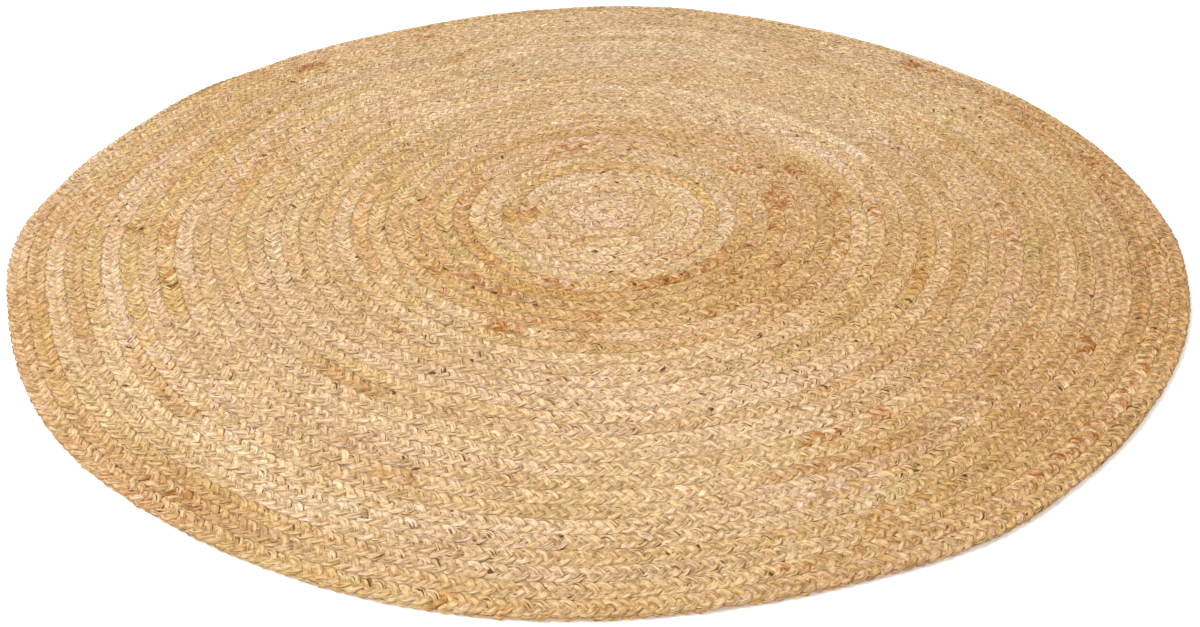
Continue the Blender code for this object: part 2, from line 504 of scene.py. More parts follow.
def plait_tree():
    """Three strands laid along a path: Start is the length of plait before it."""
    tree, given, put_out = new_tree("three_strand_plait", {
        "Start": 0.0, "Stitch": STITCH, "Plait Width": PLAIT_WIDTH, "Plait Height": RUG_HEIGHT,
        "Strand Width": STRAND_WIDTH, "Strand Height": STRAND_HEIGHT,
        "Edge Narrowing": EDGE_NARROWING, "Edge Thickening": EDGE_THICKENING,
        "Edge Roll": math.radians(EDGE_ROLL), "Seed": 4.0,
    })
    size = given.outputs
    rail = size["Geometry"]
    three = place_node(
        tree, "GeometryNodeDuplicateElements", {"domain": "SPLINE"}, Geometry=rail, Amount=STRANDS)
    strand = three.outputs["Duplicate Index"]
    full_length = tree.nodes.new("GeometryNodeSplineLength").outputs["Length"]
    third = sums(tree, "DIVIDE", strand, float(STRANDS))

    def phase_at(length):
        """How far the strand has gone round its figure of eight, in radians."""
        along = plus(tree, length, size["Start"])
        stitches = sums(tree, "DIVIDE", along, size["Stitch"])
        phase = times(tree, plus(tree, stitches, third), 2 * math.pi)
        per_metre, most = STITCH_STRAY
        phase = plus(tree, phase, wander(tree, along, 0.0, per_metre, size["Seed"], most))
        return plus(tree, phase, wander(tree, along, strand, *STRAND_STRAY)), along

    # The rings crowd together where the strand is on top.
    even = tree.nodes.new("GeometryNodeSplineParameter").outputs["Length"]
    even_phase, _ = phase_at(even)
    crowd = sums(tree, "MULTIPLY_ADD", even_phase, 2.0, math.radians(CROWDED_AT))
    crowd = sums(tree, "COSINE", crowd)
    crowd = times(tree, crowd, size["Stitch"])
    crowd = times(tree, crowd, TOP_CROWDING / (2 * math.pi))
    length = sums(tree, "MAXIMUM", plus(tree, even, crowd), 0.0)
    length = sums(tree, "MINIMUM", length, full_length)
    spot = place_node(
        tree, "GeometryNodeSampleCurve", {"mode": "LENGTH", "data_type": "FLOAT"},
        Curves=rail, Length=length, Value=tree.nodes.new("GeometryNodeInputRadius").outputs[0],
    )
    fullness = spot.outputs["Value"]
    phase, along = phase_at(length)

    swing = sums(tree, "SINE", phase)
    third_wave = sums(tree, "SINE", times(tree, phase, 3.0))
    swing = plus(tree, swing, times(tree, third_wave, EDGE_DWELL))
    swing = sums(tree, "DIVIDE", swing, 1 - EDGE_DWELL)
    lift = sums(tree, "SINE", times(tree, phase, 2.0))
    at_edge = sums(tree, "POWER", sums(tree, "ABSOLUTE", sums(tree, "SINE", phase)), 3.0)

    narrowed = sums(tree, "SUBTRACT", 1.0, times(tree, at_edge, size["Edge Narrowing"]))
    narrowed = plus(tree, narrowed, wander(tree, along, strand, *WIDTH_STRAY))
    wide = times(tree, size["Strand Width"], narrowed)
    thickened = plus(tree, 1.0, times(tree, at_edge, size["Edge Thickening"]))
    tall = times(tree, size["Strand Height"], thickened)

    reach = sums(tree, "DIVIDE", sums(tree, "SUBTRACT", size["Plait Width"], wide), 2.0)
    sideways = times(tree, times(tree, swing, reach), fullness)
    sideways = plus(tree, sideways, wander(tree, along, strand, *SIDE_STRAY))
    rise = sums(tree, "DIVIDE", sums(tree, "SUBTRACT", size["Plait Height"], tall), 2.0)
    middle = sums(tree, "DIVIDE", size["Plait Height"], 2.0)
    upwards = plus(tree, times(tree, lift, rise), middle)
    upwards = plus(tree, upwards, wander(tree, along, strand, *RISE_STRAY))

    across = vectors(tree, "CROSS_PRODUCT", spot.outputs["Tangent"], (0, 0, 1))
    place = vectors(tree, "ADD", spot.outputs["Position"], scaled(tree, across, sideways))
    place = vectors(tree, "ADD", place, place_node(tree, "ShaderNodeCombineXYZ", Z=upwards).outputs[0])

    # What depends on the path is kept before the points move off it.
    geometry = store(
        tree, three.outputs["Geometry"], along=along, strand=strand,
        wide=times(tree, wide, fullness), tall=times(tree, tall, fullness),
        roll=times(tree, swing, size["Edge Roll"]),
        place=place, middle=spot.outputs["Position"], across=across,
    )
    geometry = place_node(
        tree, "GeometryNodeSetPosition", Geometry=geometry, Position=kept_value(tree, "place"),
    ).outputs[0]

    # The strand's own directions: to its side and out of the rug, turned by its roll.
    heading = tree.nodes.new("GeometryNodeInputTangent").outputs[0]
    flank = vectors(tree, "NORMALIZE", vectors(tree, "CROSS_PRODUCT", heading, (0, 0, 1)))
    back = vectors(tree, "CROSS_PRODUCT", flank, heading)
    roll = kept_value(tree, "roll")
    sine, cosine = sums(tree, "SINE", roll), sums(tree, "COSINE", roll)
    rolled_flank = vectors(tree, "ADD", scaled(tree, flank, cosine), scaled(tree, back, sine))
    rolled_back = vectors(tree, "SUBTRACT", scaled(tree, back, cosine), scaled(tree, flank, sine))
    geometry = store(tree, geometry, flank=rolled_flank, back=rolled_back)

    loop = place_node(tree, "GeometryNodeCurvePrimitiveCircle", Resolution=SIDES, Radius=0.001)
    turn = sums(tree, "DIVIDE", tree.nodes.new("GeometryNodeInputIndex").outputs[0], float(SIDES))
    loop = store(tree, loop.outputs[0], around=turn)
    geometry = place_node(
        tree, "GeometryNodeCurveToMesh", Curve=geometry, Profile_Curve=loop, Fill_Caps=True).outputs[0]

    angle = times(tree, kept_value(tree, "around"), -2 * math.pi)
    lump = place_node(
        tree, "ShaderNodeCombineXYZ",
        X=times(tree, kept_value(tree, "along"), LUMPS_ALONG),
        Y=times(tree, sums(tree, "COSINE", angle), LUMPS_AROUND),
        Z=plus(tree, times(tree, sums(tree, "SINE", angle), LUMPS_AROUND),
               times(tree, kept_value(tree, "strand"), 13.7)),
    ).outputs[0]
    lump = place_node(tree, "ShaderNodeTexNoise", Vector=lump, Scale=1.0, Detail=1.0).outputs["Fac"]
    lump = times(tree, sums(tree, "SUBTRACT", lump, 0.5), LUMPINESS)
    lump = plus(tree, lump, 1.0)

    def corner(wave, extent):
        """A squarer circle: the way out along one axis of the section."""
        far = sums(tree, "POWER", sums(tree, "ABSOLUTE", wave), SQUARENESS)
        far = times(tree, far, sums(tree, "SIGN", wave))
        far = times(tree, far, lump)
        return times(tree, far, sums(tree, "DIVIDE", kept_value(tree, extent), 2.0))

    out = corner(sums(tree, "COSINE", angle), "wide")
    out = scaled(tree, kept_value(tree, "flank"), out)
    rise = corner(sums(tree, "SINE", angle), "tall")
    rise = scaled(tree, kept_value(tree, "back"), rise)
    skin = vectors(tree, "ADD", kept_value(tree, "place"), out)
    skin = vectors(tree, "ADD", skin, rise)

    # Its lane, across the row, is kept for the painted shade of the valleys and grooves; then it is
    # pressed, but not into the floor.
    lane = vectors(tree, "SUBTRACT", skin, kept_value(tree, "middle"))
    lane = vectors(tree, "DOT_PRODUCT", lane, kept_value(tree, "across"))
    lane = plus(tree, sums(tree, "DIVIDE", lane, ROW_WIDTH / 2), LANE_MIDDLE)
    apart = place_node(tree, "ShaderNodeSeparateXYZ", Vector=skin).outputs
    lower = sums(tree, "MAXIMUM", times(tree, apart["Z"], PRESSED_LIFT), 0.0)
    upper = sums(tree, "MULTIPLY_ADD", apart["Z"], PRESSED, PRESSED_ABOUT * (1 - PRESSED))
    pressed = sums(tree, "MINIMUM", lower, upper)
    skin = place_node(tree, "ShaderNodeCombineXYZ", X=apart["X"], Y=apart["Y"], Z=pressed).outputs[0]
    geometry = store(tree, geometry, lane=lane)
    geometry = place_node(tree, "GeometryNodeSetPosition", Geometry=geometry, Position=skin).outputs[0]
    smooth = place_node(tree, "GeometryNodeSetShadeSmooth", Geometry=geometry)
    real = place_node(tree, "GeometryNodeRealizeInstances", Geometry=smooth.outputs[0])
    dressed = place_node(
        tree, "GeometryNodeSetMaterial", Geometry=real.outputs[0], Material=jute)
    tree.links.new(dressed.outputs[0], put_out.inputs[0])
    return tree


plait = plait_tree()


def set_input(modifier, label, value):
    """Give a modifier's input its value, by the socket's identifier."""
    for socket in modifier.node_group.interface.items_tree:
        if socket.name == label and socket.in_out == "INPUT":
            modifier[socket.identifier] = value


def made_mesh(rail, tree, name, **values):
    """The plain mesh that a tree makes on an object, which is then removed."""
    modifier = rail.modifiers.new("making", "NODES")
    modifier.node_group = tree
    for label, value in values.items():
        set_input(modifier, label.replace("_", " "), value)
    seen = rail.evaluated_get(bpy.context.evaluated_depsgraph_get())
    mesh = bpy.data.meshes.new_from_object(seen)
    mesh.name = name
    rail.modifiers.remove(modifier)
    curve = rail.data
    bpy.data.objects.remove(rail)
    bpy.data.curves.remove(curve)
    return mesh


def rail_of(points, name):
    """A poly curve through the path's points, its radius the plait's fullness there."""
    curve = bpy.data.curves.new(name, "CURVE")
    curve.dimensions = "3D"
    spline = curve.splines.new("POLY")
    spline.points.add(len(points) - 1)
    flat = np.zeros((len(points), 4))
    flat[:, :2] = points[:, :2]
    flat[:, 3] = 1
    spline.points.foreach_set("co", flat.ravel())
    spline.points.foreach_set("radius", points[:, 3] / ROW_WIDTH)
    return new_thing(curve)


def numbers_on(mesh, name):
    """A named number of every point of a mesh."""
    found = np.zeros(len(mesh.vertices), np.float32)
    mesh.attributes[name].data.foreach_get("value", found)
    return found


def note(mesh, name, values):
    """Keep a number, or a colour with its alpha, on every point of a mesh."""
    if values.ndim == 1:
        kept, field = mesh.attributes.new(name, "FLOAT", "POINT"), "value"
    else:
        kept, field = mesh.attributes.new(name, "FLOAT_COLOR", "POINT"), "color"
    kept.data.foreach_set(field, values.astype(np.float32).ravel())


def tube_corners(mesh, sides, rings):
    """For a mesh of tubes: each face corner's point, and each corner's tube, ring and side.

    The rings of a tube are numbered along it, and the sides around it. A face that closes
    the loop has its last corners on side number `sides`. The faces that cap a tube's ends
    are told apart by the last array.
    """
    points = np.zeros(len(mesh.loops), np.int32)
    mesh.loops.foreach_get("vertex_index", points)
    starts = np.zeros(len(mesh.polygons), np.int32)
    mesh.polygons.foreach_get("loop_start", starts)
    face = np.repeat(np.arange(len(starts)), np.diff(np.append(starts, len(points))))
    ring = points % (rings * sides) // sides
    side = points % sides

    def over_face(pick, values):
        return pick.reduceat(values, starts)[face]

    capping = over_face(np.maximum, ring) == over_face(np.minimum, ring)
    closing = over_face(np.maximum, side) - over_face(np.minimum, side) == sides - 1
    side = np.where(closing & ~capping & (side == 0), sides, side)
    return points, points // (rings * sides), ring, side, over_face(np.minimum, ring), capping


CELL_MARGIN = 0.05            # of a cell, left free around a strip
CAP_RADIUS = 0.3              # of a cap's cell


def map_tubes(mesh, sides, rings, girth, strip, columns):
    """Two maps for tubes: one that the fibre follows in metres, and one to bake into.

    For baking, each tube is cut into strips of so many rings, and each strip has a cell of
    the map to itself. The caps have small cells of their own in a last row.
    """
    points, tube, ring, side, first_ring, capping = tube_corners(mesh, sides, rings)
    fibre_map = mesh.uv_layers.new(name="fibre_map")
    along = numbers_on(mesh, "along")[points]
    fibre_map.data.foreach_set("uv", np.stack([along, side / sides * girth], axis=1).ravel())

    strips = -(-(rings - 1) // strip)
    tubes = int(tube.max()) + 1
    rows = -(-tubes * strips // columns) + 1
    cell = tube * strips + np.minimum(first_ring // strip, strips - 1)
    u = (ring - first_ring // strip * strip) / strip
    u = (cell % columns + CELL_MARGIN / 4 + u * (1 - CELL_MARGIN / 2)) / columns
    v = (cell // columns + CELL_MARGIN + side / sides * (1 - 2 * CELL_MARGIN)) / rows
    cap = tube * 2 + (ring > 0)
    turn = 2 * math.pi * side / sides
    u = np.where(capping, (cap + 0.5 + CAP_RADIUS * np.cos(turn)) / (2 * tubes), u)
    v = np.where(capping, (rows - 0.5 + CAP_RADIUS * np.sin(turn)) / rows, v)
    bake_map = mesh.uv_layers.new(name="OFBake")
    bake_map.data.foreach_set("uv", np.stack([u, v], axis=1).ravel())


# Where the fibre itself is of another colour, read off the photo; a few broad bands are painted
# light and shade instead, each marked below. A band is a patch over several rows, a streak runs
# along one row in so many of its three strands, and a fleck is a spot. Bearings grow past 360
# where a mark crosses it. Rows are counted from the eye.

TONE_BANDS = (
    # colour, from bearing, to bearing, from row, to row, strength
    (ROSE, 0, 360, 0, 2.6, 0.45),
    (AMBER, 0, 360, 8.0, 14.2, 0.20),
    (AMBER, 305, 420, 11.0, 14.6, 0.40),
    (AMBER, 55, 132, 10.0, 13.8, 0.35),
    (AMBER, 180, 272, 10.4, 13.6, 0.25),
    (CREAM, 180, 332, 15.0, 24.5, 0.30),
    (CREAM, 0, 60, 15.0, 23.5, 0.15),
    (ROSE, 268, 312, 15.5, 21.5, 0.35),
    (ROSE, 240, 272, 14.5, 20.0, 0.25),
    (ROSE, 206, 224, 18.0, 26.5, 0.30),
    (ROSE, 58, 84, 15.5, 21.0, 0.30),
    (ROSE, 252, 266, 29.0, 32.0, 0.30),
    (ASH, 84, 118, 21.0, 25.0, 0.35),
    (ASH, 335, 352, 22.0, 24.0, 0.30),
    (AMBER, 40, 64, 26.0, 28.8, 0.25),
    (AMBER, 178, 245, 32.4, 34.5, 0.35),
    (AMBER, 330, 405, 30.6, 34.5, 0.45),
    (AMBER, 268, 312, 32.5, 34.5, 0.25),
    (AMBER, 112, 142, 29.5, 33.0, 0.35),
    # The right side, darker and browner over many rows: partly the fibre's own amber, partly painted
    # shade.
    (AMBER, 298, 382, 14.0, 34.5, 0.28),
    (CREAM, 205, 292, 22.0, 32.5, 0.35),
    # The far side, paler over its outer rows: painted light.
    (CREAM, 30, 140, 13.0, 34.5, 0.45),
    # The right side again: partly the fibre's own amber, partly painted shade.
    (AMBER, 300, 358, 4.0, 34.5, 0.12),
    (AMBER, 312, 356, 8.0, 34.5, 0.26),
)
STREAKS = {
    # from bearing, to bearing, row, strength, strands
    RUST: (
        (278, 306, 8.6, 0.95, 3), (306, 332, 8.8, 0.65, 2), (93, 116, 8.7, 0.60, 2),
        (240, 262, 8.2, 0.55, 2), (302, 318, 11.0, 0.60, 1), (324, 334, 11.0, 0.60, 2),
        (344, 375, 10.5, 0.70, 2), (388, 398, 10.7, 0.80, 2), (60, 67, 10.7, 0.70, 2),
        (73, 80, 8.7, 0.70, 2), (332, 339, 9.6, 0.50, 1), (272, 279, 11.8, 0.45, 1),
        (0, 20, 11.8, 0.80, 2), (24, 40, 11.7, 0.55, 1), (2, 15, 13.9, 0.75, 2), (20, 28, 13.8, 0.85, 2),
        (338, 360, 14.1, 0.60, 1), (298, 330, 14.0, 0.40, 1), (294, 306, 13.0, 0.75, 2),
        (242, 252, 13.7, 0.90, 3), (262, 267, 13.7, 0.60, 2), (220, 233, 11.2, 0.60, 2),
        (233, 243, 10.8, 0.70, 2), (210, 219, 11.3, 0.70, 2), (262, 271, 11.5, 0.60, 1),
        (355, 366, 16.1, 0.80, 2), (346, 352, 15.9, 0.50, 1), (103, 108, 16.0, 0.60, 1),
        (331, 340, 19.5, 0.75, 1), (292, 299, 24.6, 0.85, 2), (302, 305.5, 24.7, 0.90, 3),
        (348, 365, 24.3, 0.50, 1), (22, 25, 20.9, 0.60, 2), (152, 166, 23.7, 0.60, 1),
        (327, 333, 29.6, 0.80, 2), (307, 337, 32.5, 0.80, 1), (337, 360, 32.3, 0.45, 1),
        (5, 14, 32.3, 0.80, 2), (18, 26, 32.6, 0.60, 1), (26, 42, 32.3, 0.60, 1),
        (42, 45.5, 32.6, 0.90, 3), (281, 300, 32.5, 0.45, 1), (132, 137.5, 31.2, 0.90, 3),
        (115, 119, 31.1, 0.70, 2), (229, 237, 33.0, 0.70, 1), (183, 185.2, 27.8, 0.90, 3),
        (218, 233, 4.8, 0.70, 2), (166, 188, 4.9, 0.80, 2), (208, 218, 3.6, 0.60, 2),
        (240, 257, 3.4, 0.60, 2), (288, 312, 3.6, 0.45, 1), (74, 92, 5.2, 0.50, 1),
        (14, 18, 16.2, 0.35, 1), (194, 200, 25.7, 0.50, 2), (225, 231, 16.7, 0.50, 1),
        (192, 212, 11.8, 0.40, 1),
    ),
    AMBER: (
        (180, 200, 8.4, 0.90, 3), (200, 226, 8.8, 0.80, 3), (148, 180, 8.5, 0.85, 3),
        (332, 360, 8.4, 0.45, 2), (164, 179, 11.8, 0.60, 2), (180, 198, 4.8, 0.90, 3),
        (25, 41, 3.5, 0.80, 2), (172, 194, 3.8, 0.80, 3), (165, 188, 14.5, 0.50, 2),
        (180, 225, 15.3, 0.45, 2), (90, 98, 13.2, 0.80, 3), (316, 332, 26.1, 0.55, 2),
        (181, 189, 26.0, 0.60, 3), (208, 226, 28.3, 0.45, 3), (226, 240, 21.3, 0.50, 2),
        (28, 45, 24.0, 0.50, 1), (18, 23, 24.0, 0.70, 2), (113, 118, 26.3, 0.60, 3),
        (54, 58, 28.0, 0.60, 3), (15, 26, 31.0, 0.50, 3), (172, 196, 6.0, 0.80, 3),
        (245, 252, 26.9, 0.50, 2), (285, 306, 26.5, 0.35, 2), (257, 259.5, 33.3, 0.90, 2),
        (99, 101.5, 20.3, 0.60, 3),
    ),
    OLIVE: (
        (226, 241, 8.0, 0.60, 3), (205, 216, 6.5, 0.50, 2), (120, 128, 8.8, 0.60, 2),
        (100, 107, 6.3, 0.60, 2), (47, 51, 28.0, 0.60, 3), (345, 353, 25.8, 0.60, 3),
        (330, 337, 25.5, 0.50, 3), (20, 24, 26.0, 0.60, 2), (130, 156, 24.8, 0.45, 2),
        (185, 215, 10.0, 0.50, 3), (288, 297, 4.5, 0.50, 2), (130, 165, 14.8, 0.40, 2),
    ),
    CREAM: (
        (155, 190, 7.4, 0.80, 3), (278, 306, 7.0, 0.60, 2), (180, 205, 16.2, 0.60, 2),
        (180, 200, 24.5, 0.50, 2), (66, 79, 8.0, 0.50, 2), (345, 362, 15.3, 0.60, 2),
        (210, 219, 23.2, 0.50, 3), (352, 372, 9.3, 0.40, 2),
    ),
    ROSE: (
        (262, 286, 2.8, 0.90, 3), (230, 263, 7.4, 0.60, 2), (225, 241, 14.6, 0.60, 3),
        (195, 211, 3.1, 0.50, 2), (270, 282, 14.0, 0.60, 3), (10, 21, 8.6, 0.50, 2),
        (45, 61, 5.8, 0.45, 2), (335, 362, 8.9, 0.40, 1),
    ),
}
FLECKS = (
    # bearing, row
    (279.5, 8.7), (282.5, 8.5), (294, 8.8), (301.5, 8.6), (273.5, 6.9), (276.5, 5.4), (249, 13.8),
    (255.5, 13.5), (236.5, 11.0), (246, 11.1), (251, 11.1), (216.5, 11.2), (230, 11.3), (195, 11.8),
    (206, 11.7), (294.5, 13.0), (305, 12.9), (316, 11.0), (322.5, 10.8), (335.5, 9.6), (3, 14.0),
    (29.5, 11.7), (58.5, 8.8), (32.5, 7.0), (78, 3.9), (144, 5.6), (91, 5.2), (92.5, 11.0), (132, 9.8),
    (172.5, 11.6), (189, 13.3), (196, 13.3), (208, 9.2), (263, 4.6), (267, 4.6), (242, 3.4),
    (200.5, 15.2), (261, 17.3), (263.5, 17.2), (280.7, 16.8), (243, 15.6), (246, 17.1), (242.5, 19.0),
    (244, 18.6), (288.5, 19.1), (302, 18.4), (304, 18.4), (240.3, 21.4), (225.7, 21.6), (285, 20.7),
    (297.5, 21.3), (302, 21.4), (314, 19.5), (323, 19.6), (326.5, 19.6), (330, 19.6), (340, 19.3),
    (350, 19.4), (330.5, 17.0), (32, 20.0), (33, 17.5), (38.5, 16.8), (24, 20.9), (59, 15.0), (65, 15.9),
    (68, 15.9), (204.5, 23.0), (207, 22.8), (281, 23.6), (181, 29.2), (182, 29.0), (180.3, 28.7),
    (184.2, 27.4), (199, 25.8), (216.3, 30.0), (249, 29.8), (266.3, 29.2), (246.5, 28.6), (256, 28.2),
    (250.5, 26.0), (236.3, 32.8), (261.5, 32.0), (263, 31.6), (283, 32.5), (336.5, 32.4), (337.8, 31.5),
    (278, 30.5), (304, 30.4), (300.5, 28.7), (303.5, 28.4), (340.5, 28.9), (14, 32.5), (16.5, 32.4),
    (45, 32.9), (27, 29.3), (30, 29.3), (53.5, 30.4), (64, 27.6), (87, 30.2), (95.5, 30.7), (94, 29.5),
    (117.5, 30.1), (134.5, 29.2), (139.5, 29.7), (155.8, 27.2), (178, 29.2), (109.5, 22.4), (113.5, 22.4),
    (107, 20.4), (121, 18.0), (158.5, 23.8), (161, 23.8), (164, 23.6), (44, 23.7), (5, 26.4),
    (17.5, 24.0), (126.5, 19.9), (75, 21.0), (79, 8.6), (181, 20.0),
)
MARK_FADE = 0.012             # metres along the row over which a mark fades in
BAND_WEIGHT = 0.85            # what a band's strength is multiplied by
STREAK_POWER = 0.6            # the power that a streak's strength is raised to, which lifts the weak ones
FLECK_REACH = 0.010           # a fleck sits on the nearest point of a strand's top, no farther than this
FLECK_LOWEST = 0.0078
FLECK_TAIL = 0.7              # of its darkness, on the ring after it
TIGHTEST_BEND = 0.05          # metres from the eye, inside which a mark fades in as it does there


def lay_over(stain, colour, weight):
    """Lay a colour over what is there. The colours are kept multiplied by their strength."""
    stain *= (1 - weight)[:, None]
    stain += weight[:, None] * np.array([*colour, 1])


def reach_of(bearings, radii, first, last):
    """How far inside a mark's stretch of bearings each point is, from 0 to 1."""
    past = np.mod(bearings - first, 360)
    inside = np.minimum(past, (last - first) - past)
    inside = np.where(last - first >= 360, 1e3, inside)
    return np.clip(np.radians(inside) * np.maximum(radii, TIGHTEST_BEND) / MARK_FADE, 0, 1)


def stain_fibres(mesh, path):
    """Give every point the colour of the marks over it, and their strength as its alpha."""
    spots = np.zeros(len(mesh.vertices) * 3, np.float32)
    mesh.vertices.foreach_get("co", spots)
    heights = spots[2::3]
    spots = spots.reshape(-1, 3)[:, :2] - EYE
    radii = np.linalg.norm(spots, axis=1)
    bearings = np.mod(np.degrees(np.arctan2(spots[:, 1], spots[:, 0])), 360)
    true_radii = radii - swells_at(bearings) * (radii / RUG_RADIUS) ** SWELL_GROWTH
    strands = numbers_on(mesh, "strand").round().astype(int)
    rings = numbers_on(mesh, "along") * RINGS_PER_STITCH / STITCH
    plait_rows = np.interp(rings, np.arange(len(path)), path[:, 2]) - 0.5
    stain = np.zeros((len(radii), 4))
    for colour, first, last, inner, outer, strength in TONE_BANDS:
        weight = BAND_WEIGHT * strength * reach_of(bearings, radii, first, last)
        edge = np.clip(np.minimum(plait_rows - inner, outer - plait_rows) + 0.5, 0, 1)
        lay_over(stain, colour, weight * edge)
    count = 0
    for colour, streaks in STREAKS.items():
        for first, last, row, strength, number in streaks:
            weight = strength ** STREAK_POWER * reach_of(bearings, radii, first, last)
            weight *= np.abs(plait_rows - row) < 0.5
            weight *= np.mod(strands + count, STRANDS) < number
            lay_over(stain, colour, weight)
            count += 1
    fleck = np.zeros(len(radii), np.float32)
    for bearing, row in FLECKS:
        along = np.radians(np.mod(bearings - bearing + 180, 360) - 180) * radii
        far = np.hypot(along, true_radii - row * ROW_WIDTH)
        far[heights < FLECK_LOWEST] = 1
        nearest = far.argmin()
        if far[nearest] < FLECK_REACH:
            fleck[nearest] = 1
            fleck[min(nearest + SIDES, len(fleck) - 1)] = FLECK_TAIL
    note(mesh, "fleck", fleck)
    note(mesh, "stain", stain)


def keep_only(mesh, names):
    """Remove what the tree stored on a mesh for its own use."""
    unused = [a.name for a in mesh.attributes if a.name in PLAIT_NOTES and a.name not in names]
    for name in unused:
        mesh.attributes.remove(mesh.attributes[name])


path = plait_path()
band_ends = [round(len(path) * (i / BANDS)) for i in range(BANDS + 1)]
band_ends[-1] = len(path) - 1
for i, (first, last) in enumerate(zip(band_ends, band_ends[1:])):
    name = f"plait_band_{i + 1}"
    rail = rail_of(path[first:last + 1], name + "_rail")
    mesh = made_mesh(rail, plait, name, Start=first * STITCH / RINGS_PER_STITCH)
    map_tubes(mesh, SIDES, last - first + 1, STRAND_GIRTH, STRIP_RINGS, 1)
    stain_fibres(mesh, path)
    keep_only(mesh, ("strand", "lane"))
    band = new_thing(mesh)
    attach(band, "root")
    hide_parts("braided_rug")

# ------------------------------------------------------------------------------------------
# The web: the matted fibre and sewing thread between and under the strands, which closes the
# rug where they part. It is one thin sheet, hidden but for the bottoms of the grooves.

WEB_TOP = 0.0068
WEB_BOTTOM = 0.0022
WEB_INSET = 0.007         # from the rim
WEB_RIM_POINTS = 160
WEB_RINGS = 6
# The web's browns are darker than the plait's fibre: partly matted fibre and thread, partly painted shade
# at the bottoms of the grooves.
WEB_DARK = (0.30, 0.17, 0.065)
WEB_PALE = (0.56, 0.35, 0.16)
WEB_GRAIN = 260.0         # waves of colour and relief in a metre
WEB_RELIEF = 0.001
WEB_ROUGHNESS = 0.9


def web_mesh():
    edge = rim_places(WEB_RIM_POINTS) + EYE
    lengths = np.linalg.norm(edge - EYE, axis=1)[:, None]
    edge = EYE + (edge - EYE) * (lengths - WEB_INSET) / lengths
    net_points = [(EYE[0], EYE[1], WEB_TOP)]
    for ring in range(1, WEB_RINGS + 1):
        net_points += [(x, y, WEB_TOP) for x, y in EYE + (edge - EYE) * ring / WEB_RINGS]
    count = WEB_RIM_POINTS
    faces = [(0, 1 + (i + 1) % count, 1 + i) for i in range(count)]
    for ring in range(WEB_RINGS - 1):
        low, high = 1 + ring * count, 1 + (ring + 1) * count
        for i in range(count):
            j = (i + 1) % count
            faces.append((low + i, low + j, high + j, high + i))
    top = len(net_points)
    net_points += [(x, y, WEB_BOTTOM) for x, y, _ in net_points]
    under = [tuple(top + i for i in reversed(face)) for face in faces]
    outer = 1 + (WEB_RINGS - 1) * count
    wall = [
        (outer + i, outer + (i + 1) % count, top + outer + (i + 1) % count, top + outer + i)
        for i in range(count)
    ]
    mesh = bpy.data.meshes.new("groove_web")
    mesh.from_pydata(net_points, [], faces + under + wall)
    mesh.materials.append(web_jute)
    mesh.validate()
    return mesh


def web_material():
    material, tree, shader = new_material("groove_jute")
    position = place_node(tree, "ShaderNodeTexCoord").outputs["Object"]
    noise = place_node(tree, "ShaderNodeTexNoise", Vector=position, Scale=WEB_GRAIN, Detail=3.0)
    pale = between(tree, noise.outputs["Fac"], 0.3, 0.7)
    tone = blend(tree, pale, (*WEB_DARK, 1), (*WEB_PALE, 1))
    tree.links.new(tone, shader["Base Color"])
    bump = place_node(
        tree, "ShaderNodeBump", Strength=1.0, Distance=WEB_RELIEF, Height=noise.outputs["Fac"])
    tree.links.new(bump.outputs["Normal"], shader["Normal"])
    shader["Roughness"].default_value = WEB_ROUGHNESS
    return material


# The seam: fibre and thread packed into the groove between two rows, as one soft cord along it.
SEAM_STEP = 0.022
SEAM_SECTION = ((0.0036, 0.0064), (0.0, 0.0088), (-0.0036, 0.0064), (0.0, 0.0040))  # aside, up
SEAM_GIRTH = 0.016
SEAM_FIRST_TURN = 1.5
SEAM_LAST_TURN = TURNS - 1.02
SEAM_STRIP = 400


def seam_mesh():
    turns = np.linspace(SEAM_FIRST_TURN, SEAM_LAST_TURN, 200000)
    gone = lengths_along(places(turns, ROW_WIDTH * (turns - 1)))
    along = np.arange(0, gone[-1], SEAM_STEP)
    turns = np.interp(along, gone, turns)
    corners = []
    for out, height in SEAM_SECTION:
        plan = places(turns, ROW_WIDTH * (turns - 1) + out) + EYE
        corners.append(np.column_stack([plan, np.full(len(along), height)]))
    points = np.stack(corners, axis=1).reshape(-1, 3)
    sides = len(SEAM_SECTION)
    i, j = np.meshgrid(np.arange(len(along) - 1) * sides, np.arange(sides), indexing="ij")
    k = (j + 1) % sides
    walls = np.stack([i + j, i + k, i + sides + k, i + sides + j], axis=-1).reshape(-1, 4)
    last = (len(along) - 1) * sides
    mesh = bpy.data.meshes.new("groove_seam")
    ends = [(3, 2, 1, 0), (last, last + 1, last + 2, last + 3)]
    mesh.from_pydata(points, [], [*walls.tolist(), *ends])
    note(mesh, "along", np.repeat(along, sides))
    note(mesh, "stain", np.zeros((len(points), 4)))
    map_tubes(mesh, sides, len(along), SEAM_GIRTH, SEAM_STRIP, 1)
    # Without a lane, the seam gets the groove's painted shade all over.
    mesh.materials.append(jute)
    mesh.shade_smooth()
    return mesh


web_jute = web_material()
web = new_thing(web_mesh())
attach(web, "root")
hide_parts("braided_rug")
seam = new_thing(seam_mesh())
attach(seam, "root")
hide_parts("braided_rug")

# ------------------------------------------------------------------------------------------
# Loose fibres: single hairs of jute that have worked out of the plait. Most lie along the
# rows in a low arc with both ends in the plait, and some stand out past the rim.

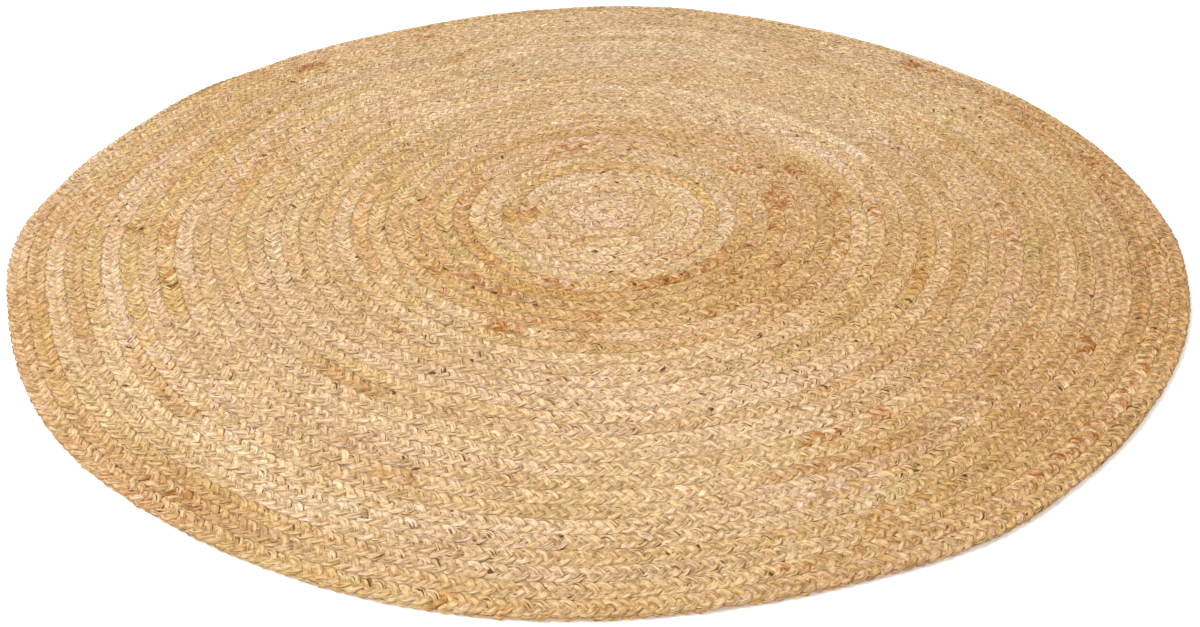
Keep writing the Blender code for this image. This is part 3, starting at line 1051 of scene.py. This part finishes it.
LOOSE_FIBRES = 2600
RIM_SHARE = 0.07                   # of them stand out past the rim
FIBRE_RINGS = 4
FIBRE_SIDES = 3
FIBRE_THICKNESS = (0.00030, 0.00055)
FIBRE_LENGTH = (0.012, 0.042)
FIBRE_RISE = (0.0002, 0.0022)      # of the middle, above the plait
FIBRE_STRAY = 32                   # degrees off the row, as a standard deviation
FIBRE_BOW = 0.12                   # of its length, sideways
RIM_REACH = 0.006                  # metres that a hair at the rim bows outwards at most
RIM_ROWS = 0.945                   # of the plait's length: what comes after it lies at the rim
FREE_END = 60                      # rings of the path's two ends that have no hair on them
ROOT_DEPTH = 0.0012                # metres that a hair's ends are sunk in the plait
FIBRE_GIRTH = 0.001
FIBRE_MAP = 0.03                   # metres of the fibre's colours that one hair runs through
FIBRE_PALING = 0.45                # towards the cream of bleached fibre


def loose_fibre_mesh(path):
    chance = np.random.default_rng(7)
    count = LOOSE_FIBRES
    last_ring = len(path) - FREE_END
    ring = chance.integers(FREE_END, last_ring, count)
    at_rim = chance.random(count) < RIM_SHARE
    ring = np.where(at_rim, chance.integers(int(len(path) * RIM_ROWS), last_ring, count), ring)
    ahead = path[ring + 3, :2] - path[ring - 3, :2]
    heading = np.arctan2(ahead[:, 1], ahead[:, 0]) + np.radians(chance.normal(0, FIBRE_STRAY, count))
    out = (path[ring, :2] - EYE) / np.linalg.norm(path[ring, :2] - EYE, axis=1)[:, None]
    across = chance.uniform(-0.45, 0.45, count) * ROW_WIDTH
    across = np.where(at_rim, ROW_WIDTH * 0.42, across)
    middle = path[ring, :2] + out * across[:, None]
    length = chance.uniform(*FIBRE_LENGTH, count)
    rise = chance.uniform(*FIBRE_RISE, count)
    bow = chance.normal(0, FIBRE_BOW, count) * length
    bow = np.where(at_rim, 0, bow)
    share = np.linspace(-0.5, 0.5, FIBRE_RINGS)
    arch = 1 - (2 * share) ** 2
    along = np.stack([np.cos(heading), np.sin(heading)], axis=1)
    aside = np.stack([-np.sin(heading), np.cos(heading)], axis=1)
    spots = middle[:, None] + along[:, None] * (length[:, None] * share)[:, :, None]
    spots += aside[:, None] * (bow[:, None] * arch)[:, :, None]
    reach = chance.uniform(0.3, 1, count) * RIM_REACH
    spots += out[:, None] * (np.where(at_rim, reach, 0)[:, None] * arch)[:, :, None]
    height = RUG_HEIGHT - ROOT_DEPTH + (rise + ROOT_DEPTH)[:, None] * arch
    height = np.where(at_rim[:, None], RUG_HEIGHT * chance.uniform(0.4, 0.8, count)[:, None], height)

    thickness = chance.uniform(*FIBRE_THICKNESS, count)[:, None] * (0.25 + 0.75 * arch)
    turn = 2 * math.pi * np.arange(FIBRE_SIDES) / FIBRE_SIDES
    flank = (thickness / 2)[:, :, None] * np.cos(turn)
    points = np.empty((count, FIBRE_RINGS, FIBRE_SIDES, 3))
    points[..., :2] = spots[:, :, None] + aside[:, None, None] * flank[..., None]
    points[..., 2] = height[:, :, None] + (thickness / 2)[:, :, None] * np.sin(turn)

    ends = FIBRE_RINGS * FIBRE_SIDES
    tube, step, side = np.meshgrid(
        np.arange(count) * ends, np.arange(FIBRE_RINGS - 1) * FIBRE_SIDES, np.arange(FIBRE_SIDES),
        indexing="ij",
    )
    here = tube + step + side
    there = tube + step + (side + 1) % FIBRE_SIDES
    walls = np.stack([here, here + FIBRE_SIDES, there + FIBRE_SIDES, there], axis=-1).reshape(-1, 4)
    first = np.arange(count)[:, None] * ends + np.arange(FIBRE_SIDES)
    last = first[:, ::-1] + ends - FIBRE_SIDES
    mesh = bpy.data.meshes.new("loose_fibres")
    mesh.from_pydata(points.reshape(-1, 3), [], [*walls.tolist(), *first.tolist(), *last.tolist()])
    own = np.repeat(chance.uniform(0, 90, count), ends)
    note(mesh, "strand", own)
    note(mesh, "along", own + np.tile(np.repeat(share, FIBRE_SIDES), count) * FIBRE_MAP)
    note(mesh, "stain", np.tile(np.array([*CREAM, 1]) * FIBRE_PALING, (count * ends, 1)))
    map_tubes(mesh, FIBRE_SIDES, FIBRE_RINGS, FIBRE_GIRTH, FIBRE_RINGS, 60)
    # Without a lane, the hairs get a little of the groove's painted shade all over.
    mesh.materials.append(jute)
    return mesh


hairs = new_thing(loose_fibre_mesh(path))
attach(hairs, "root")
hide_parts("braided_rug")

# ------------------------------------------------------------------------------------------
# The studio: a plain white floor and broad soft light, stronger from the left.

FLOOR_HALF = 12.0
FLOOR_LEVEL = -0.0003     # just under the rug, so that the two don't share a plane
FLOOR_WHITE = (0.9, 0.9, 0.9, 1)
FLOOR_ROUGHNESS = 0.9
FLOOR_GLOW = 0.2          # lifts the floor to the photo's plain white
KEY_PLACE = (-2.8, -2.1, 4.2)
KEY_AIM = (-0.15, -0.1, 0)
KEY_SIZE = 2.2
KEY_WATTS = 167
SKY_STRENGTH = 0.90

floor_mesh = bpy.data.meshes.new("floor")
floor_mesh.from_pydata(
    [(x * FLOOR_HALF, y * FLOOR_HALF, FLOOR_LEVEL) for x, y in ((-1, -1), (1, -1), (1, 1), (-1, 1))],
    [], [(0, 1, 2, 3)],
)
floor = new_thing(floor_mesh)
white, _, floor_shader = new_material("white_floor")
floor_shader["Base Color"].default_value = FLOOR_WHITE
floor_shader["Roughness"].default_value = FLOOR_ROUGHNESS
floor_shader["Emission Color"].default_value = (1, 1, 1, 1)
floor_shader["Emission Strength"].default_value = FLOOR_GLOW
floor_mesh.materials.append(white)

lamp = bpy.data.lights.new("key_light", "AREA")
lamp.shape = "DISK"
lamp.size = KEY_SIZE
lamp.energy = KEY_WATTS
softbox = new_thing(lamp)
softbox.location = KEY_PLACE
softbox.rotation_mode = "QUATERNION"
softbox.rotation_quaternion = (Vector(KEY_AIM) - Vector(KEY_PLACE)).to_track_quat("-Z", "Y")
sky = bpy.data.worlds.new("studio")
bpy.context.scene.world = sky
sky.use_nodes = True
sky.node_tree.nodes["Background"].inputs["Color"].default_value = (1, 1, 1, 1)
sky.node_tree.nodes["Background"].inputs["Strength"].default_value = SKY_STRENGTH
bpy.context.scene.view_settings.view_transform = "Standard"
